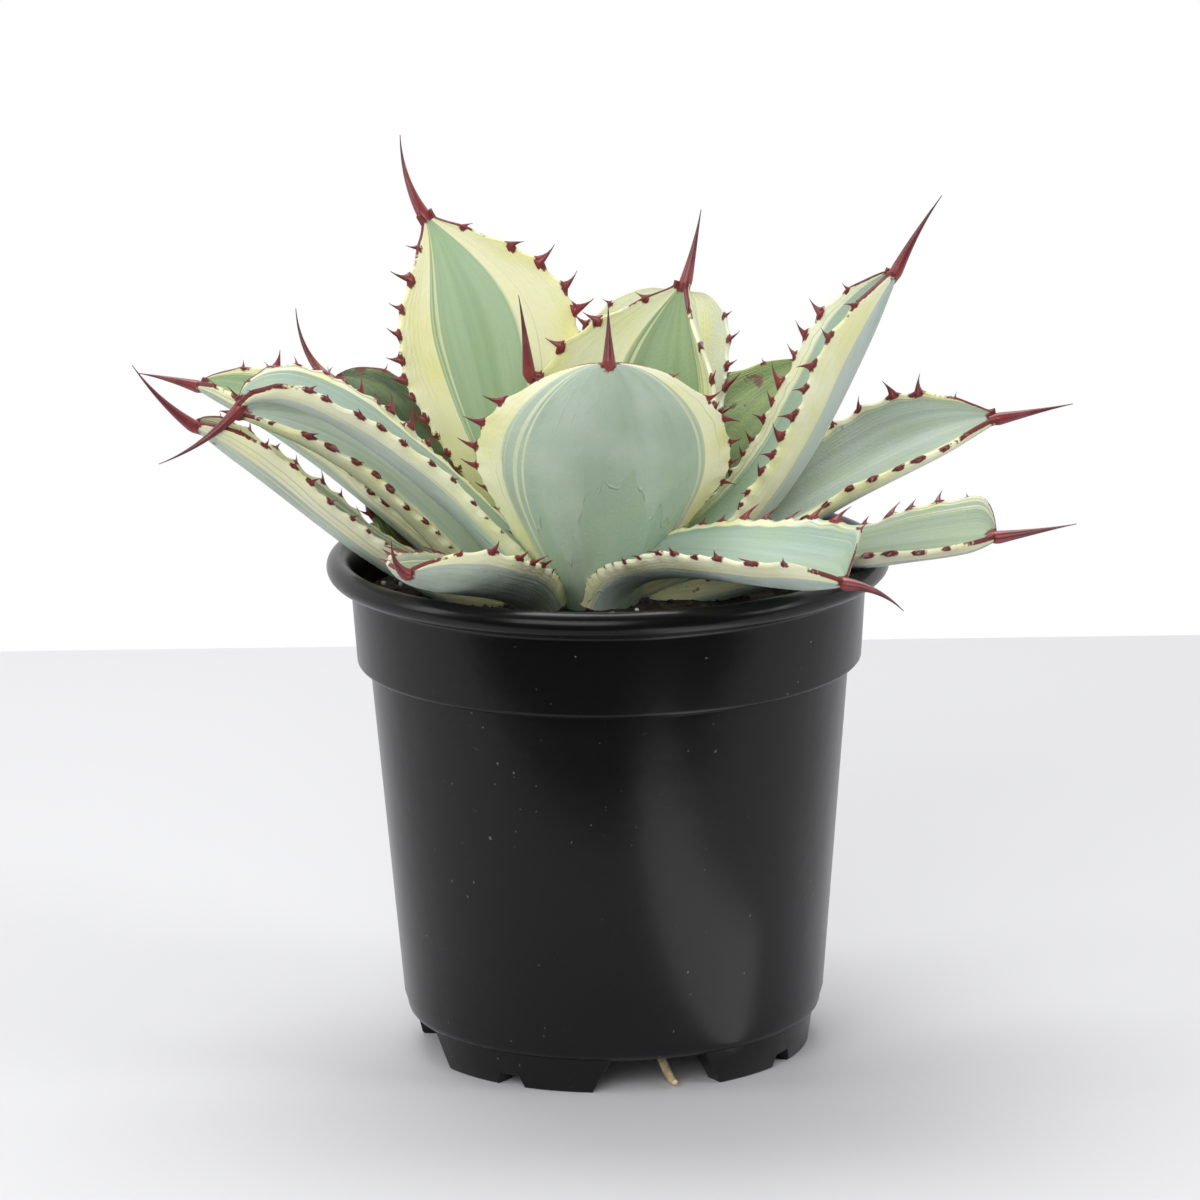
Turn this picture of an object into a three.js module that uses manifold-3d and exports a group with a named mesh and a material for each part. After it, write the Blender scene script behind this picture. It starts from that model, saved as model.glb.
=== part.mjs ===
// A small variegated agave in a black plastic nursery pot.
//
// Units are millimetres, +Z is up, and the pot's axis is vertical. The camera side of the plant is
// -Y. Angles are in degrees: a bearing is a compass direction in plan, 0 along +X and 90 along +Y,
// and a rise is measured up from level.

import * as THREE from 'three';
import { mergeVertices } from 'three/addons/utils/BufferGeometryUtils.js';
import Module from 'manifold-3d';

const wasm = await Module();
wasm.setup();

// Pot, measured up from the surface it stands on
const POT_HEIGHT = 149;
const LIP_RADIUS = 82.5;
const LIP_WIDEST = 146;
const LIP_UNDERSIDE = 140;
const LIP_ROLL = 3.5;
const COLLAR_TOP_RADIUS = 75.4;
const COLLAR_BOTTOM_RADIUS = 74;
const COLLAR_BOTTOM = 116;
const BODY_TOP_RADIUS = 70.2;
const BODY_FOOT_RADIUS = 62;
const BODY_FOOT = 17;
const FOOT_HEIGHT = 10;
const FOOT_RADIUS = 59;
const FOOT_TAPER = 1.5;
const FOOT_RING = 7;
const WALL = 1.6;
const FLOOR = 2;
const POT_SIDES = 40;
const DRAIN_RADIUS = 5;
const DRAIN_CIRCLE = 43;

// The foot ring is cut through by four wide gaps, with a low notch midway between each two. Their
// half widths are angles about the pot's axis.
const FOOT_PERIOD = 90;
const FIRST_GAP_BEARING = -77;
const GAP_BOTTOM = 19.6;
const GAP_TOP = 14;
const NOTCH_BOTTOM = 4.6;
const NOTCH_TOP = 2.9;
const NOTCH_HEIGHT = 3.5;
const FIRST_DRAIN_BEARING = -73;

// Soil, stem and the one root that has found a drain hole
const SOIL_LEVEL = 134;
const SOIL_MOUND = 2;
const SEAT_GAP = 0.3;
const HEART = new THREE.Vector3(-11, 2, 0);
const STEM_RADIUS = 15;
const STEM_FOOT = 96;
const STEM_TOP = 147;
const STEM_SIDES = 16;
const ROOT_RADIUS = 1.4;
const ROOT_SIDES = 8;
const ROOT_LINE = [[11, -36, 27], [12.5, -41, 16], [13, -42.5, 8], [16, -50, 2.4], [17.5, -54, 2]];

// Pale grains lying half sunk in the soil, each as x, y and size
const GRAINS = [
  [29, -58, 5], [40, -52, 3.4], [-62, -26, 3.4], [-55, -30, 4], [24, -52, 3], [-48, -48, 3.4],
  [44, 48, 4.4], [-30, 60, 4], [60, 22, 3.6],
];

// Leaf blade sections
const ACROSS = [-1, -0.45, 0.45, 1];
const EDGE_THICKNESS = 1.5;
const BASE_THICKNESS = 9;
const TIP_THICKNESS = 3.4;
const SPINE_STEPS = 3;
const SPINE_RADIUS = 1.8;
const SPINE_POINT = 0.4;
const MARGIN_WAVE = 0.7;
const NECK_EXPONENT = 1.6;

// Marginal teeth, in pairs from the base to the tip, closer together towards the base
const TEETH = 7;
const FIRST_TOOTH = 0.14;
const LAST_TOOTH = 0.91;
const TOOTH_SPREAD = 1.1;
const TOOTH_LENGTH = 4.2;
const TOOTH_HALF_WIDTH = 1.5;
const TOOTH_THICKNESS = 0.7;
const TOOTH_LEAN = 0.8;
const SCALLOP = 0.8;

// Leaves from the heart outwards. seat is the bearing at which the leaf joins the stem, out and z
// are how far from the heart's axis and how high, tip is the blade's tip from the pot's axis, lift
// and droop are the rise at the base and at the tip, sway swings the curve sideways, roll and twist
// turn the blade about its own line, and fold is half the arc of its channel. aim is the bearing
// and rise that the terminal spine bends to.
const LEAVES = [
  { name: 'leaf_bud', seat: -157, out: 2, z: 146, tip: [-21, -2, 202], lift: 79, droop: 83,
    width: 14, fold: 70, neck: 1.6, spine: 24, aim: [-170, 78], toothed: false },
  { name: 'leaf_young', seat: 60, out: 8, z: 143, tip: [4, 13, 196], lift: 72, droop: 84,
    width: 30, fold: 60, neck: 0.6, spine: 6, aim: [60, 84] },
  { name: 'leaf_right_upright', seat: 9, out: 18, z: 140, tip: [23, 21, 224], lift: 70, droop: 66,
    sway: -3, width: 74, roll: 4, fold: 49, neck: 0.4, point: 1.1, spine: 22, aim: [20, 77] },
  { name: 'leaf_tall_back', seat: 135, out: 13, z: 143, tip: [-53, 45, 241], lift: 60, droop: 43,
    width: 57, roll: -20, twist: -12, fold: 36, neck: 0.3, wide: 0.62, point: 1.15, reach: 0.42,
    spine: 25, aim: [120, 87] },
  { name: 'leaf_front', seat: -62, out: 19, z: 135, tip: [1, -40, 213], lift: 62, droop: 88,
    sway: 2, width: 76, roll: 5, twist: -12, fold: 48, neck: 0.3, wide: 0.61, point: 0.54,
    spine: 17, aim: [-65, 90] },
  { name: 'leaf_back_pale', seat: 62, out: 16, z: 138, tip: [23, 66, 212], lift: 62, droop: 54,
    width: 57, fold: 30, wide: 0.62, point: 0.34, spine: 4, aim: [60, 60] },
  { name: 'leaf_right_keel', seat: -14, out: 14, z: 140, tip: [83, -12, 233], lift: 19, droop: 62,
    sway: 2, width: 40, roll: 17, twist: -8, fold: 60, wide: 0.78, reach: 0.41,
    spine: 27, aim: [-11, 52] },
  { name: 'leaf_left_upper', seat: -105, out: 20, z: 140, tip: [-106, -32, 201], lift: 60,
    droop: -52, sway: -4, width: 30, roll: -4, fold: 38, wide: 0.7, point: 1, reach: 0.23,
    spine: 29, aim: [-165, -20] },
  { name: 'leaf_left_far', seat: 164, out: 21, z: 136, tip: [-120, 34, 193], lift: 39, droop: 9,
    sway: -3, width: 39, roll: -7, fold: 48, wide: 0.61, point: 0.64, reach: 0.3,
    spine: 19, aim: [172, 5] },
  { name: 'leaf_right_middle', seat: 12, out: 20, z: 136, tip: [115, 23, 182], lift: 15, droop: 8,
    sway: -6, width: 34, roll: 5, twist: 29, fold: 48, wide: 0.7, point: 0.93, reach: 0.31,
    spine: 23, aim: [8, 7] },
  { name: 'leaf_left_under', seat: -170, out: 20, z: 137, tip: [-106, -15, 195], lift: 54, droop: 8,
    width: 36, roll: -32, twist: 8, fold: 45, neck: 0.5, wide: 0.62, spine: 6, aim: [-170, 0] },
  { name: 'leaf_front_right', seat: -68, out: 21, z: 140, tip: [67, -76, 157], lift: 52, droop: 0,
    sway: 12, width: 51, roll: 10, twist: -10, fold: 39, neck: 0.34, wide: 0.9, point: 0.95,
    reach: 0.32, spine: 21, aim: [-38, -37] },
  { name: 'leaf_front_left', seat: -114, out: 21, z: 140, tip: [-57, -74, 161], lift: 31, droop: 23,
    sway: -10, width: 42, roll: -4, twist: 14, fold: 38, neck: 0.4, wide: 0.68, point: 0.48,
    reach: 0.34, spine: 12, aim: [159, 88] },
  { name: 'leaf_back_old', seat: 38, out: 22, z: 136, tip: [62, 66, 190], lift: 46, droop: 30,
    width: 50, fold: 30, point: 0.55, spine: 4, aim: [38, 30] },
  { name: 'leaf_left_old', seat: 158, out: 24, z: 135, tip: [-81, 47, 191], lift: 14, droop: 17,
    sway: -6, width: 40, roll: -15, twist: -3, fold: 28, wide: 0.53, point: 0.4, reach: 0.39,
    spine: 26, aim: [160, 86] },
  { name: 'leaf_right_low', seat: -16, out: 24, z: 137, tip: [112, -30, 159], lift: 15, droop: 8,
    width: 37, roll: -2, twist: 14, fold: 28, neck: 0.2, wide: 0.93, point: 0.6, spine: 24,
    aim: [-7, 9] },
  { name: 'leaf_left_low', seat: -150, out: 23, z: 137, tip: [-118, -26, 194], lift: 16, droop: 34,
    sway: 4, width: 27, roll: -8, twist: 12, fold: 49, neck: 0.4, wide: 0.82, point: 0.54,
    spine: 26, aim: [-174, 54] },
  { name: 'leaf_back_low', seat: 95, out: 22, z: 137, tip: [-16, 104, 172], lift: 34, droop: 6,
    width: 48, fold: 40, spine: 20, aim: [98, 12] },
  { name: 'leaf_back_low_right', seat: 74, out: 22, z: 136, tip: [36, 96, 162], lift: 24, droop: 8,
    width: 46, fold: 35, spine: 18, aim: [70, 10] },
  { name: 'leaf_back_low_left', seat: 118, out: 22, z: 136, tip: [-66, 90, 167], lift: 23, droop: 7,
    width: 46, fold: 40, spine: 18, aim: [122, 16] },
];

const LEAF_DEFAULTS = {
  sway: 0, roll: 0, twist: 0, neck: 0.45, wide: 0.58, point: 0.8, reach: 0.36, toothed: true,
};

// Colours, from the photograph
const BLACK_PLASTIC = { color: 0x17181b, roughness: 0.35, metalness: 0 };
const DARK_SOIL = { color: 0x2b221c, roughness: 0.95, metalness: 0 };
const PALE_STEM = { color: 0xb9bd96, roughness: 0.8, metalness: 0 };
const GREY_GREEN = { color: 0xa9bfa9, roughness: 0.6, metalness: 0 };
const WHITE_GRAIN = { color: 0xe4e0d6, roughness: 0.9, metalness: 0 };
const ROOT_TAN = { color: 0xd8c49c, roughness: 0.8, metalness: 0 };

const radians = THREE.MathUtils.degToRad;

function direction(bearing, rise) {
  const b = radians(bearing);
  const e = radians(rise);
  return new THREE.Vector3(Math.cos(e) * Math.cos(b), Math.cos(e) * Math.sin(b), Math.sin(e));
}

// Closed geometry, and solids that can be joined and cut

function toSolid(geometry) {
  const bare = geometry.clone();
  bare.deleteAttribute('normal');
  bare.deleteAttribute('uv');
  const merged = mergeVertices(bare, 1e-4);
  const mesh = new wasm.Mesh({
    numProp: 3,
    vertProperties: new Float32Array(merged.attributes.position.array),
    triVerts: new Uint32Array(merged.index.array),
  });
  return new wasm.Manifold(mesh);
}

function toGeometry(solid) {
  const mesh = solid.getMesh();
  const geometry = new THREE.BufferGeometry();
  geometry.setAttribute('position', new THREE.BufferAttribute(mesh.vertProperties, 3));
  geometry.setIndex(new THREE.BufferAttribute(mesh.triVerts, 1));
  geometry.computeVertexNormals();
  return geometry;
}

function largestPiece(solid) {
  const pieces = solid.decompose();
  pieces.sort((a, b) => b.volume() - a.volume());
  return pieces[0];
}

// A closed skin through rings of the same number of points, with flat ends
function skin(rings) {
  const positions = [];
  const index = [];
  const sides = rings[0].length;
  for (const ring of rings) {
    for (const p of ring) {
      positions.push(p.x, p.y, p.z);
    }
  }
  for (let r = 0; r + 1 < rings.length; r += 1) {
    for (let k = 0; k < sides; k += 1) {
      const a = r * sides + k;
      const b = r * sides + (k + 1) % sides;
      index.push(a, a + sides, b);
      index.push(b, a + sides, b + sides);
    }
  }
  const last = (rings.length - 1) * sides;
  const half = sides / 2;
  for (let k = 0; k + 1 < half; k += 1) {
    const a = k;
    const b = k + 1;
    const c = sides - 1 - b;
    const d = sides - 1 - a;
    index.push(a, b, d);
    index.push(b, c, d);
    index.push(last + a, last + d, last + b);
    index.push(last + b, last + d, last + c);
  }
  const geometry = new THREE.BufferGeometry();
  geometry.setAttribute('position', new THREE.Float32BufferAttribute(positions, 3));
  geometry.setIndex(index);
  return geometry;
}

function latheSolid(profile) {
  const points = profile.map(([r, z]) => new THREE.Vector2(r, z));
  const geometry = new THREE.LatheGeometry(points, POT_SIDES);
  geometry.rotateX(Math.PI / 2);
  return toSolid(geometry);
}

// Pot: one line that its inner face and its soil both follow

const FLOOR_TOP = FOOT_HEIGHT + FLOOR;

function collarRadius(z) {
  const share = (z - COLLAR_BOTTOM) / (LIP_UNDERSIDE - COLLAR_BOTTOM);
  return COLLAR_BOTTOM_RADIUS + (COLLAR_TOP_RADIUS - COLLAR_BOTTOM_RADIUS) * share;
}

// The line of the pot's inner face from the middle of the floor up to a height
function potInside(gap, top) {
  const inset = WALL + gap;
  const ledge = COLLAR_BOTTOM + 3;
  return [
    [0, FLOOR_TOP + gap],
    [BODY_FOOT_RADIUS - 4 - inset, FLOOR_TOP + gap],
    [BODY_FOOT_RADIUS - inset, BODY_FOOT],
    [BODY_TOP_RADIUS - inset, COLLAR_BOTTOM],
    [collarRadius(ledge) - inset, ledge],
    [collarRadius(top) - inset, top],
  ];
}

function potSolid() {
  const ringInner = FOOT_RADIUS - FOOT_RING - FOOT_TAPER;
  const outside = [
    [0, FOOT_HEIGHT],
    [ringInner, FOOT_HEIGHT],
    [ringInner, 0],
    [FOOT_RADIUS - FOOT_TAPER, 0],
    [FOOT_RADIUS, FOOT_HEIGHT],
    [BODY_FOOT_RADIUS, BODY_FOOT],
    [BODY_TOP_RADIUS, COLLAR_BOTTOM],
    [COLLAR_BOTTOM_RADIUS, COLLAR_BOTTOM + 1.5],
    [COLLAR_TOP_RADIUS, LIP_UNDERSIDE],
    [LIP_RADIUS - 1.5, LIP_UNDERSIDE + 2.2],
    [LIP_RADIUS, LIP_WIDEST],
    [LIP_RADIUS - LIP_ROLL / 2, POT_HEIGHT - 0.5],
    [LIP_RADIUS - LIP_ROLL, POT_HEIGHT],
    [LIP_RADIUS - LIP_ROLL - 2, POT_HEIGHT - 0.6],
  ];
  const inside = potInside(0, LIP_UNDERSIDE).reverse();
  let pot = latheSolid([...outside, ...inside]);
  for (let turn = 0; turn < 360; turn += FOOT_PERIOD) {
    const gap = FIRST_GAP_BEARING + turn;
    const notch = gap + FOOT_PERIOD / 2;
    pot = pot.subtract(footCut(gap, GAP_BOTTOM, GAP_TOP, FOOT_HEIGHT));
    pot = pot.subtract(footCut(notch, NOTCH_BOTTOM, NOTCH_TOP, NOTCH_HEIGHT));
    pot = pot.subtract(drain(FIRST_DRAIN_BEARING + turn));
  }
  return pot;
}

// A wedge through the foot ring from below, pointing at the axis and wider at its bottom
function footCut(bearing, bottom, top, height) {
  const corners = [[-top, height], [top, height], [bottom, -1], [-bottom, -1]];
  const radii = [FOOT_RADIUS - FOOT_RING - 5, FOOT_RADIUS + 3];
  const rings = radii.map((radius) => corners.map(([angle, z]) => (
    direction(bearing + angle, 0).multiplyScalar(radius).setZ(z)
  )));
  return toSolid(skin(rings));
}

function drain(bearing) {
  const hole = new THREE.CylinderGeometry(DRAIN_RADIUS, DRAIN_RADIUS, 4 * FLOOR, 12);
  hole.rotateX(Math.PI / 2);
  hole.translate(DRAIN_CIRCLE, 0, FOOT_HEIGHT + FLOOR / 2);
  hole.rotateZ(radians(bearing));
  return toSolid(hole);
}

// Soil fills the pot, with a plain hole for the stem. Clearance bodies stand out by the seat gap.

function soilSolid(stand) {
  const inside = potInside(SEAT_GAP - stand, SOIL_LEVEL);
  const mound = [0, SOIL_LEVEL + SOIL_MOUND + stand];
  inside[inside.length - 1][1] += stand;
  return latheSolid([...inside, [COLLAR_TOP_RADIUS / 2, SOIL_LEVEL + SOIL_MOUND + stand], mound]);
}

function stemSolid(stand) {
  const r = STEM_RADIUS + stand;
  const top = STEM_TOP + stand;
  const profile = [
    [0, STEM_FOOT - stand],
    [r * 0.55, STEM_FOOT - stand],
    [r, STEM_FOOT + 24],
    [r * 0.92, top - 10],
    [r * 0.6, top - 2],
    [0, top],
  ];
  const points = profile.map(([x, z]) => new THREE.Vector2(x, z));
  const geometry = new THREE.LatheGeometry(points, STEM_SIDES);
  geometry.rotateX(Math.PI / 2);
  geometry.translate(HEART.x, HEART.y, 0);
  return toSolid(geometry);
}

// What the leaves keep clear of at the lip
function lipSolid(stand) {
  const inner = COLLAR_TOP_RADIUS - WALL - stand;
  const top = POT_HEIGHT + stand;
  return latheSolid([
    [inner, COLLAR_BOTTOM],
    [LIP_RADIUS + stand, COLLAR_BOTTOM],
    [LIP_RADIUS + stand, LIP_WIDEST + 1],
    [LIP_RADIUS - LIP_ROLL / 2, top],
    [LIP_RADIUS - LIP_ROLL - 2, top],
    [inner, LIP_UNDERSIDE],
    [inner, COLLAR_BOTTOM],
  ]);
}

// The root: a thin round tube along a bent line, from inside the soil out through a drain hole
function rootSolid(stand) {
  const line = new THREE.CatmullRomCurve3(ROOT_LINE.map((p) => new THREE.Vector3(...p)));
  const rings = [];
  const steps = 2 * ROOT_LINE.length;
  for (let i = 0; i <= steps; i += 1) {
    const t = i / steps;
    const radius = ROOT_RADIUS * (1 - 0.45 * t ** 3) + stand;
    const along = line.getTangent(t);
    const left = direction(FIRST_DRAIN_BEARING + 90, 0);
    left.addScaledVector(along, -left.dot(along)).normalize();
    const up = new THREE.Vector3().crossVectors(along, left);
    const ring = [];
    for (let k = 0; k < ROOT_SIDES; k += 1) {
      const angle = (-2 * Math.PI * k) / ROOT_SIDES;
      const p = line.getPoint(t);
      p.addScaledVector(left, radius * Math.cos(angle));
      p.addScaledVector(up, radius * Math.sin(angle));
      ring.push(p);
    }
    rings.push(ring);
  }
  return toSolid(skin(rings));
}

// A grain of the soil's pale stone, turned by its own place so that no two lie alike
function grainSolid([x, y, size], stand) {
  const grain = new THREE.IcosahedronGeometry(size / 2 + stand, 0);
  grain.rotateZ(x);
  grain.scale(1, 0.85, 0.8);
  grain.translate(x, y, SOIL_LEVEL + SOIL_MOUND / 2 + size / 8);
  return toSolid(grain);
}

// Leaves

function bladeOutline(leaf, s) {
  if (s < leaf.wide) {
    const rise = Math.sin((Math.PI / 2) * (s / leaf.wide)) ** NECK_EXPONENT;
    return leaf.neck + (1 - leaf.neck) * rise;
  }
  const t = (s - leaf.wide) / (1 - leaf.wide);
  return Math.max(Math.cos((Math.PI / 2) * t), 0) ** leaf.point;
}

// The frame of the blade at s: its place, its own left, its upper face's normal and its direction
function bladeFrame(leaf, s) {
  const seat = direction(leaf.seat, 0).multiplyScalar(leaf.out);
  const base = HEART.clone().add(seat).setZ(leaf.z);
  const tip = new THREE.Vector3(...leaf.tip);
  const chord = tip.clone().sub(base);
  const bearing = THREE.MathUtils.radToDeg(Math.atan2(chord.y, chord.x));
  const hold = chord.length() * leaf.reach;
  const out = direction(bearing - leaf.sway, leaf.lift).multiplyScalar(hold);
  const back = direction(bearing + leaf.sway, leaf.droop).multiplyScalar(-hold);
  const line = new THREE.CubicBezierCurve3(base, base.clone().add(out), tip.clone().add(back), tip);
  const along = line.getTangent(s);
  const left = direction(bearing + 90, 0);
  left.addScaledVector(along, -left.dot(along)).normalize();
  left.applyAxisAngle(along, radians(leaf.roll + leaf.twist * s));
  const up = new THREE.Vector3().crossVectors(along, left);
  return { at: line.getPoint(s), left, up, along, length: line.getLength() };
}

// One section of the blade: the upper face from right to left, then the lower face back. Where the
// section has teeth, its two margins are drawn out into their points.
function bladeRing(frame, section, grow) {
  const { halfWidth, arc, middle, edge, wave, tooth } = section;
  const upper = [];
  const lower = [];
  const radius = (halfWidth + grow) / arc;
  for (const v of ACROSS) {
    const angle = v * arc;
    const normal = frame.up.clone().multiplyScalar(Math.cos(angle));
    normal.addScaledVector(frame.left, -Math.sin(angle));
    const p = frame.at.clone();
    p.addScaledVector(frame.left, radius * Math.sin(angle));
    p.addScaledVector(frame.up, radius * (1 - Math.cos(angle)));
    p.addScaledVector(normal, wave * v ** 4 + grow);
    let thickness = edge + (middle - edge) * (1 - v * v) ** 0.8 + 2 * grow;
    if (Math.abs(v) === 1 && tooth > 0) {
      const outward = frame.left.clone().multiplyScalar(v * Math.cos(angle));
      outward.addScaledVector(frame.up, Math.abs(Math.sin(angle)));
      p.addScaledVector(outward, tooth);
      p.addScaledVector(frame.along, TOOTH_LEAN);
      thickness = TOOTH_THICKNESS + 2 * grow;
    }
    upper.push(p);
    lower.push(p.clone().addScaledVector(normal, -thickness));
  }
  return [...upper, ...lower.reverse()];
}

// Places along the blade that get a section: three for each pair of teeth, and the two ends
function bladeRows(leaf, length) {
  const rows = [{ s: 0, toothed: false }];
  for (let i = 0; i < TEETH; i += 1) {
    const s = FIRST_TOOTH + (LAST_TOOTH - FIRST_TOOTH) * (i / (TEETH - 1)) ** TOOTH_SPREAD;
    const reach = TOOTH_HALF_WIDTH / length;
    rows.push({ s: s - reach, toothed: false });
    rows.push({ s, toothed: leaf.toothed });
    rows.push({ s: s + reach, toothed: false });
  }
  rows.push({ s: 1, toothed: false });
  return rows;
}

function bladeSection(leaf, { s, toothed }, k) {
  const outline = (leaf.width / 2) * bladeOutline(leaf, s);
  const inBlade = s > 0 && s < 1 ? 1 : 0;
  const plump = Math.min(1, leaf.width / 30);
  return {
    halfWidth: Math.max(outline - SCALLOP * inBlade * (toothed ? 0 : 1), SPINE_RADIUS),
    arc: radians(leaf.fold) * (0.75 + 0.5 * s),
    middle: plump * (BASE_THICKNESS + (TIP_THICKNESS - BASE_THICKNESS) * s ** 0.7),
    edge: EDGE_THICKNESS,
    wave: MARGIN_WAVE * Math.sin(k * 0.9) * inBlade,
    tooth: toothed ? TOOTH_LENGTH * (0.55 + 0.45 * Math.sin(Math.PI * s)) : 0,
  };
}

function bladeSolid(leaf, grow) {
  const end = bladeFrame(leaf, 1);
  const rings = bladeRows(leaf, end.length).map((row, k) => (
    bladeRing(bladeFrame(leaf, row.s), bladeSection(leaf, row, k), grow)
  ));
  const aim = direction(...leaf.aim);
  for (let k = 1; k <= SPINE_STEPS; k += 1) {
    const t = k / SPINE_STEPS;
    const heading = end.along.clone().lerp(aim, t).normalize();
    end.at.addScaledVector(heading, leaf.spine / SPINE_STEPS);
    end.left.addScaledVector(heading, -end.left.dot(heading)).normalize();
    end.up.crossVectors(heading, end.left);
    const r = SPINE_RADIUS + (SPINE_POINT - SPINE_RADIUS) * t;
    const section = { halfWidth: r, arc: radians(30), middle: 1.8 * r, edge: 0.8 * r, wave: 0 };
    rings.push(bladeRing(end, section, grow));
  }
  return toSolid(skin(rings));
}

// Each leaf is cut clear of what it is seated against: pot, soil, stem and the leaves inside it
function leafSolids(blocks) {
  const leaves = LEAVES.map((leaf) => ({ ...LEAF_DEFAULTS, ...leaf }));
  const around = [...blocks];
  return leaves.map((leaf) => {
    let blade = bladeSolid(leaf, 0);
    for (const block of around) {
      blade = blade.subtract(block);
    }
    around.push(bladeSolid(leaf, SEAT_GAP));
    return { name: leaf.name, solid: largestPiece(blade) };
  });
}

const potted = new THREE.Group();

function addPiece(name, solid, finish) {
  const mesh = new THREE.Mesh(toGeometry(solid), new THREE.MeshStandardMaterial(finish));
  mesh.name = name;
  potted.add(mesh);
}

// The box around the whole plant and pot, moved so that the middle of its bottom is the origin
function centreOnBox(group) {
  const middle = new THREE.Box3().setFromObject(group).getCenter(new THREE.Vector3());
  for (const mesh of group.children) {
    mesh.geometry.translate(-middle.x, -middle.y, 0);
  }
}

const grains = GRAINS.map((grain, i) => ({
  name: `perlite_${i + 1}`,
  solid: grainSolid(grain, 0),
  clear: grainSolid(grain, SEAT_GAP),
}));
let soil = soilSolid(0).subtract(stemSolid(SEAT_GAP)).subtract(rootSolid(SEAT_GAP));
for (const { clear } of grains) {
  soil = soil.subtract(clear);
}

addPiece('pot', potSolid(), BLACK_PLASTIC);
addPiece('soil', soil, DARK_SOIL);
addPiece('stem', stemSolid(0), PALE_STEM);
addPiece('root', rootSolid(0), ROOT_TAN);
for (const { name, solid } of grains) {
  addPiece(name, solid, WHITE_GRAIN);
}
const blocks = [stemSolid(SEAT_GAP), soilSolid(SEAT_GAP), lipSolid(SEAT_GAP)];
blocks.push(...grains.map(({ clear }) => clear));
for (const { name, solid } of leafSolids(blocks)) {
  addPiece(name, solid, GREY_GREEN);
}
centreOnBox(potted);

export default potted;
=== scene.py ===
# A potted agave: the finer pieces, the materials, the light and the camera round its CAD parts.
#
# Leaves, pot and soil are worked out in millimetres from the pot's axis and become metres in
# place(). A bearing is a compass direction in plan, 0 along +X and 90 along +Y, and a rise is
# measured up from level, both in degrees.

import math
import random

import bmesh
import bpy
import numpy as np
from mathutils import Matrix, Vector, noise


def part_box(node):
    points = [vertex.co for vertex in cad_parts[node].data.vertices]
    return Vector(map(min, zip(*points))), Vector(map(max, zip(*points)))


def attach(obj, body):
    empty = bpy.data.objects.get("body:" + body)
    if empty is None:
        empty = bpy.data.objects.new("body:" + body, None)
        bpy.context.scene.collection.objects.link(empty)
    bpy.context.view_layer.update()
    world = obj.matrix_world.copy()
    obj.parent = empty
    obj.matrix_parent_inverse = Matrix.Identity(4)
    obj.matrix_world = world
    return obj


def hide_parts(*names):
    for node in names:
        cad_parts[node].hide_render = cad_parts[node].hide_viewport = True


MM = 0.001

# Pot
POT_HEIGHT = 149
LIP_RADIUS = 82.5
LIP_WIDEST = 146
LIP_UNDERSIDE = 140
LIP_ROLL = 3.5
COLLAR_TOP_RADIUS = 75.4
COLLAR_BOTTOM_RADIUS = 74
COLLAR_BOTTOM = 116
BODY_TOP_RADIUS = 70.2
BODY_FOOT_RADIUS = 62
BODY_FOOT = 17
FOOT_HEIGHT = 10
FOOT_RADIUS = 59
FOOT_TAPER = 1.5
FOOT_RING = 7
WALL = 1.6
FLOOR = 2
DRAIN_RADIUS = 5
DRAIN_CIRCLE = 43
POT_SIDES = 192
POT_SHARP_ANGLE = 38

# The foot ring's wide gaps and low notches, their half widths as angles about the pot's axis
FOOT_PERIOD = 90
FIRST_GAP_BEARING = -77
GAP_BOTTOM = 19.6
GAP_TOP = 14
NOTCH_BOTTOM = 4.6
NOTCH_TOP = 2.9
NOTCH_HEIGHT = 3.5
FIRST_DRAIN_BEARING = -73

# Soil
SOIL_LEVEL = 134
SOIL_MOUND = 2
SOIL_RADIUS = 73.2
SOIL_SKIRT = 14
SOIL_LIFT = 0.5
CLOD_SCALE = 0.11
CLOD_HEIGHT = 1.1
CRUMBS = 900
SMALL_GRAINS = 46
ROOT_RADIUS = 1.4
ROOT_TAPER = 0.45
ROOT_LINE = [(11, -36, 27), (12.5, -41, 16), (13, -42.5, 8), (16, -50, 2.4), (17.5, -54, 2)]
GRAINS = [
    (29, -58, 5), (40, -52, 3.4), (-62, -26, 3.4), (-55, -30, 4), (24, -52, 3), (-48, -48, 3.4),
    (44, 48, 4.4), (-30, 60, 4), (60, 22, 3.6),
]

# Leaf blades
HEART = np.array([-11.0, 2.0, 0.0])
ROWS = 130
COLUMNS = 27
NECK_EXPONENT = 1.6
FOLD_AT_BASE = 0.75
FOLD_AT_TIP = 1.25
EDGE_THICKNESS = 1.3
BASE_THICKNESS = 9
TIP_THICKNESS = 3.4
THIN_TIP_FROM = 0.85
THIN_TIP_LOSS = 0.35

# Their margins: where on the half width they start, their waves, the scallops that swell at each
# tooth and shrink between teeth, and how wide the part is that flares outwards
MARGIN_START = 0.75
MARGIN_WAVE = 0.8
LONG_WAVE = 7.5
SHORT_WAVE = 3.7
SCALLOP = 1.1
SCALLOP_SWELL = 2.2
SCALLOP_SHRINK = 0.9
SCALLOP_REACH = 0.3
FLARE_WIDTH = 0.12

# Their teeth, with places as shares of the blade's length
TOOTH_SPACING = 7
FIRST_TOOTH = 0.05
LAST_TOOTH = 0.92
TOOTH_SPREAD = 1.45
TOOTH_JITTER = 0.012
TOOTH_LENGTH = 5.4
SMALLEST_TOOTH = 0.16
LONGEST_TOOTH_PLACE = 0.66
WORN_TOOTH_PLACE = 0.88
WORN_TOOTH = 0.6

# Their end spines, whose roots lie sunk in the last share of the blade, and the horny skin there
SPINE_RADIUS = 1.9
SPINE_ROOT_RADIUS = 0.8
SPINE_ROOT = 0.96
SPINE_DROP = 1.3
SPINE_STEPS = 22
SHEATH_LENGTH = 6
HORNY_MARGIN_LENGTH = 10

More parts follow.
